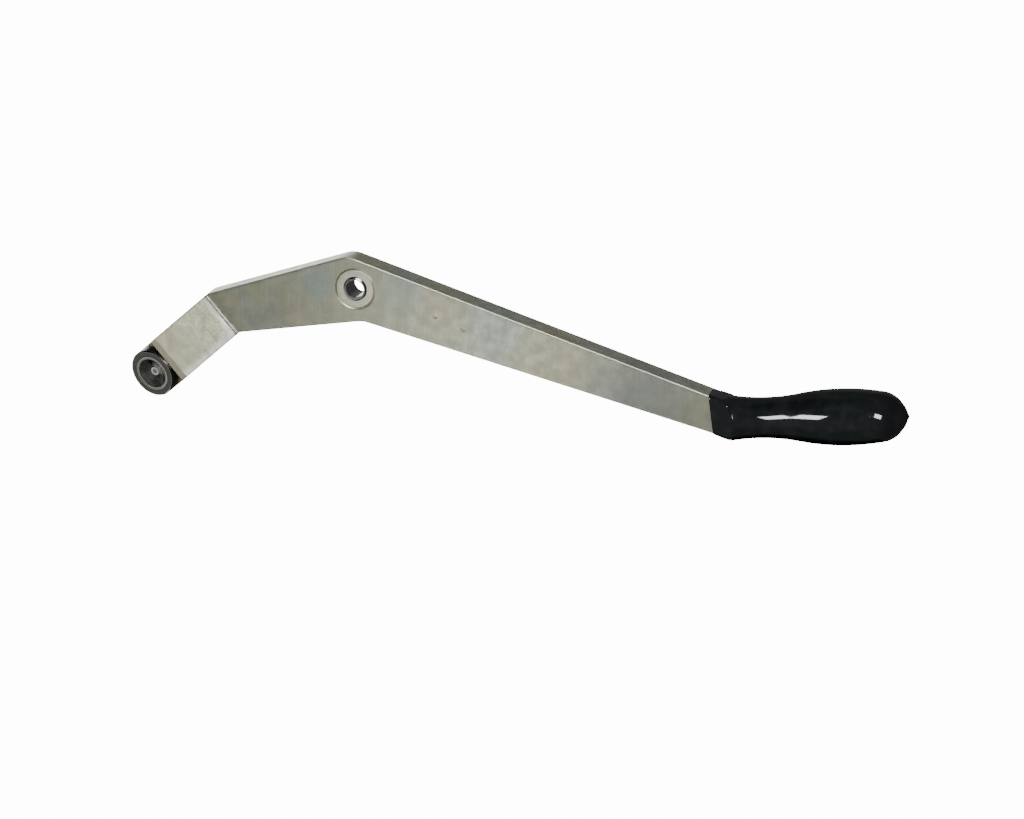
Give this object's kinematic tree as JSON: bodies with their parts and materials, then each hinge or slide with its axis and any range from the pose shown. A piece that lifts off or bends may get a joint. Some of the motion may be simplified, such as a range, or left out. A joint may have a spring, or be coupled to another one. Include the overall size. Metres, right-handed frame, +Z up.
{
  "type": "hand lever",
  "caption": "Cranked flat-bar hand lever that swings on a bushed pivot, with a roller on its folded short end and a dipped vinyl grip.",
  "frame": {"origin": "centre of the pivot bore, at the middle of the bar's thickness", "axes": "+X along the long arm towards the grip, +Y along the pivot to the back, +Z up in the plane of the arm"},
  "size_m": [0.4118, 0.045, 0.1419],
  "materials": {
    "bar": "plated, vertical brush marks, worn",
    "boss": "turned",
    "sleeve": "turned and ground",
    "roller": "turned, hardened, dark",
    "rivet": "turned, polished",
    "washer": "plated",
    "core": "turned",
    "coat": "dipped vinyl, glossy"
  },
  "bodies": {
    "pivot": {"pivot_sleeve": "sleeve"},
    "lever": {"lever_arm": "bar", "pivot_boss": "boss", "roller_rivet": "rivet", "roller_thrust_washer": "washer", "rivet_washer": "washer", "grip_core": "core", "grip_coat": "coat"},
    "roller": {"roller": "roller"}
  },
  "joints": [
    {"name": "lever_swing", "type": "hinge", "parent": "pivot", "child": "lever", "pos_m": [0, 0, 0], "axis": [0, 1, 0], "continuous": true},
    {"name": "roller_spin", "type": "hinge", "parent": "lever", "child": "roller", "pos_m": [-0.09888, 0.02029, -0.0874], "axis": [-0.1806, -0.9455, -0.2709], "continuous": true}
  ]
}
